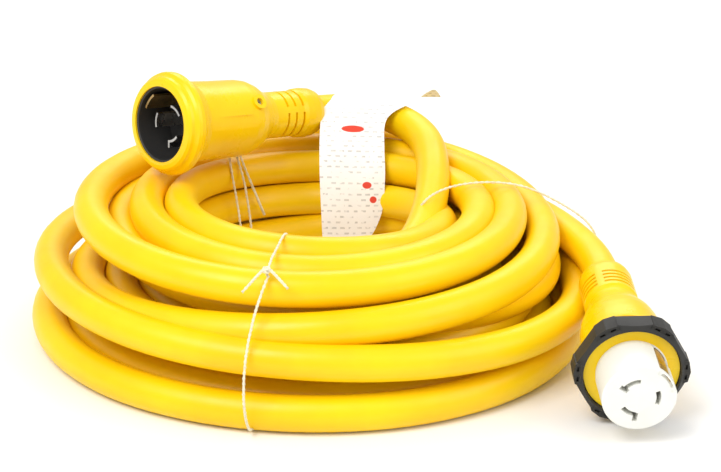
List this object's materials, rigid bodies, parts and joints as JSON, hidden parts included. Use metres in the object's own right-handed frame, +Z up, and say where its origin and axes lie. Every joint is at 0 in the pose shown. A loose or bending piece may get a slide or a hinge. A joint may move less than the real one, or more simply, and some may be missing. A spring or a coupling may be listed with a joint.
{
  "type": "shore power cord",
  "caption": "Coiled four-core shore power cord with a moulded male plug, a moulded female connector and a threaded locking ring.",
  "frame": {"origin": "middle of the floor under the coiled cord and both of its ends", "axes": "+Z up; +X towards the side on which the female connector lies; the connector points towards -Y"},
  "size_m": [0.4971, 0.4563, 0.1977],
  "materials": {
    "cable_jacket": "satin",
    "end_shell": "gloss",
    "ring_charcoal": "satin",
    "core_white": "satin",
    "insert_black": "matte",
    "seal_black": "matte",
    "brass": "satin",
    "nickel": "satin",
    "block_grey": "matte",
    "screw_steel": "satin",
    "core_black": "satin",
    "core_red": "satin",
    "core_neutral": "satin",
    "core_green": "satin",
    "string": "matte",
    "tag_paper": "matte"
  },
  "bodies": {
    "root": {"plug_shell": "end_shell", "plug_terminal_block": "block_grey", "plug_terminal_screws": "screw_steel", "plug_jacket_end": "cable_jacket", "plug_wire_black": "core_black", "plug_wire_red": "core_red", "plug_wire_white": "core_neutral", "plug_wire_green": "core_green", "connector_shell": "end_shell", "connector_terminal_block": "block_grey", "connector_terminal_screws": "screw_steel", "connector_jacket_end": "cable_jacket", "connector_wire_black": "core_black", "connector_wire_red": "core_red", "connector_wire_white": "core_neutral", "connector_wire_green": "core_green", "plug_cover_screw": "screw_steel", "plug_cup_liner": "insert_black", "plug_face_insert": "insert_black", "plug_blade_x": "nickel", "plug_blade_y": "nickel", "plug_blade_neutral": "nickel", "plug_blade_ground": "brass", "connector_core": "core_white", "connector_contact_x": "brass", "connector_contact_y": "brass", "connector_contact_neutral": "nickel", "connector_contact_ground": "brass", "cable_coil_lower": "cable_jacket", "cable_coil_middle": "cable_jacket", "cable_coil_upper": "cable_jacket", "cable_tail_plug": "cable_jacket", "cable_tail_connector": "cable_jacket", "tie_front": "string", "tie_left_inner": "string", "tie_left_outer": "string", "tie_right": "string", "paper_tag": "tag_paper"},
    "ring_slider": {"ring_seal": "seal_black"},
    "locking_ring": {"locking_ring": "ring_charcoal"}
  },
  "joints": [
    {"name": "ring_slide", "type": "slide", "parent": "root", "child": "ring_slider", "axis": [-0.018, 0.9931, 0.116], "range_m": [0, 0.01]},
    {"name": "ring_turn", "type": "hinge", "parent": "ring_slider", "child": "locking_ring", "pos_m": [0.20628, -0.18646, 0.04343], "axis": [0.018, -0.9931, -0.116], "continuous": true}
  ]
}
